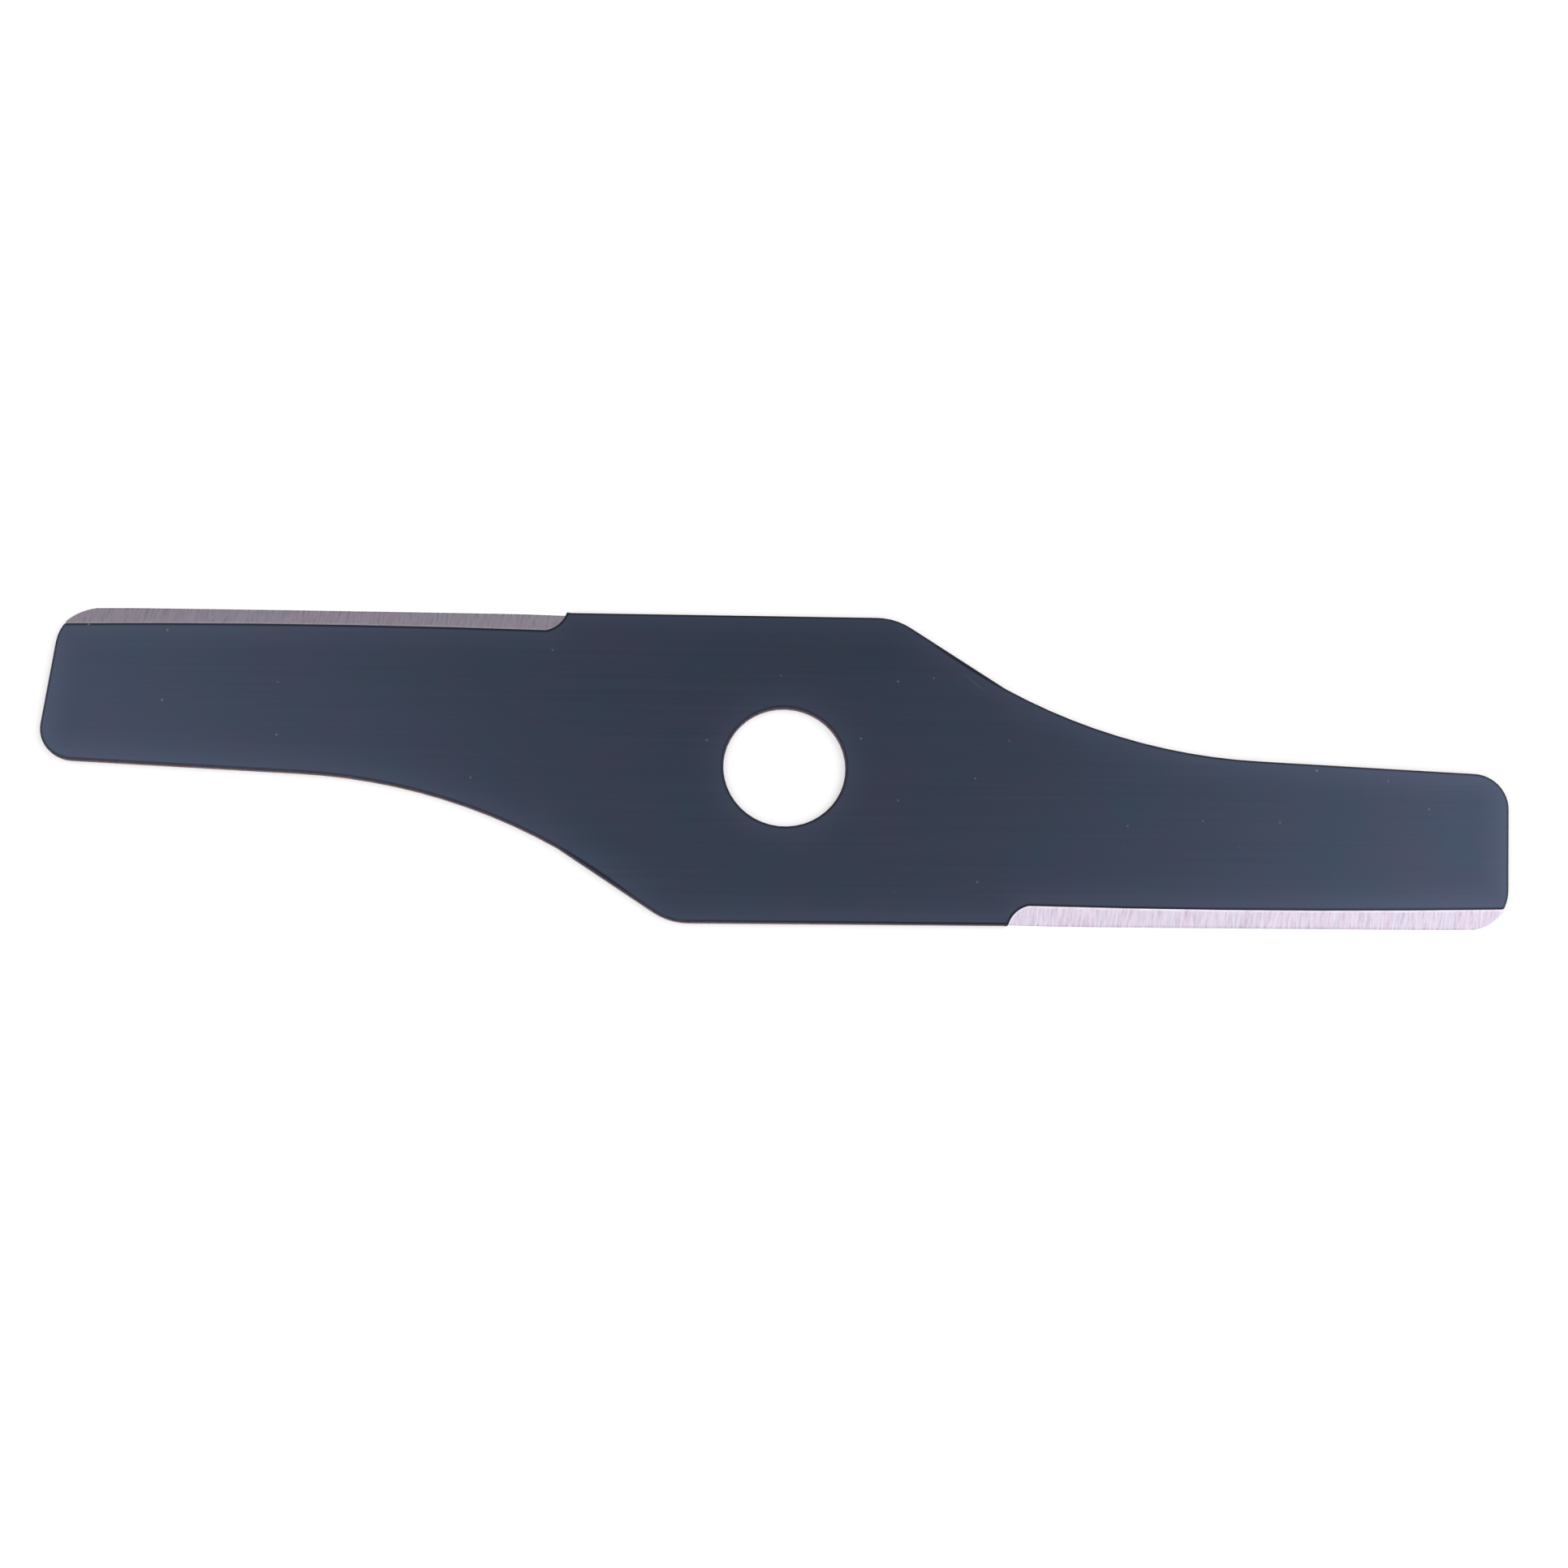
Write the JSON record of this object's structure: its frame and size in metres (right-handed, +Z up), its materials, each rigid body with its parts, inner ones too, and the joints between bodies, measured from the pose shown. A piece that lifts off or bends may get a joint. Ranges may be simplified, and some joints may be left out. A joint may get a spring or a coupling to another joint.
{
  "type": "string trimmer blade",
  "caption": "Flat S-shaped blade of spring steel sheet with a round centre bore and a ground cutting edge on the leading side of each arm, for a string trimmer or brush cutter.",
  "frame": {"origin": "middle of the bore on the underside of the sheet", "axes": "+X along the blade, +Z up along the bore, towards the side that the ground faces look to"},
  "size_m": [0.305, 0.066, 0.0016],
  "materials": {
    "blued_steel": "blue-black oxide on rolled sheet, bare ground steel on the two cutting edges"
  },
  "bodies": {
    "root": {"blade": "blued_steel"}
  },
  "joints": []
}
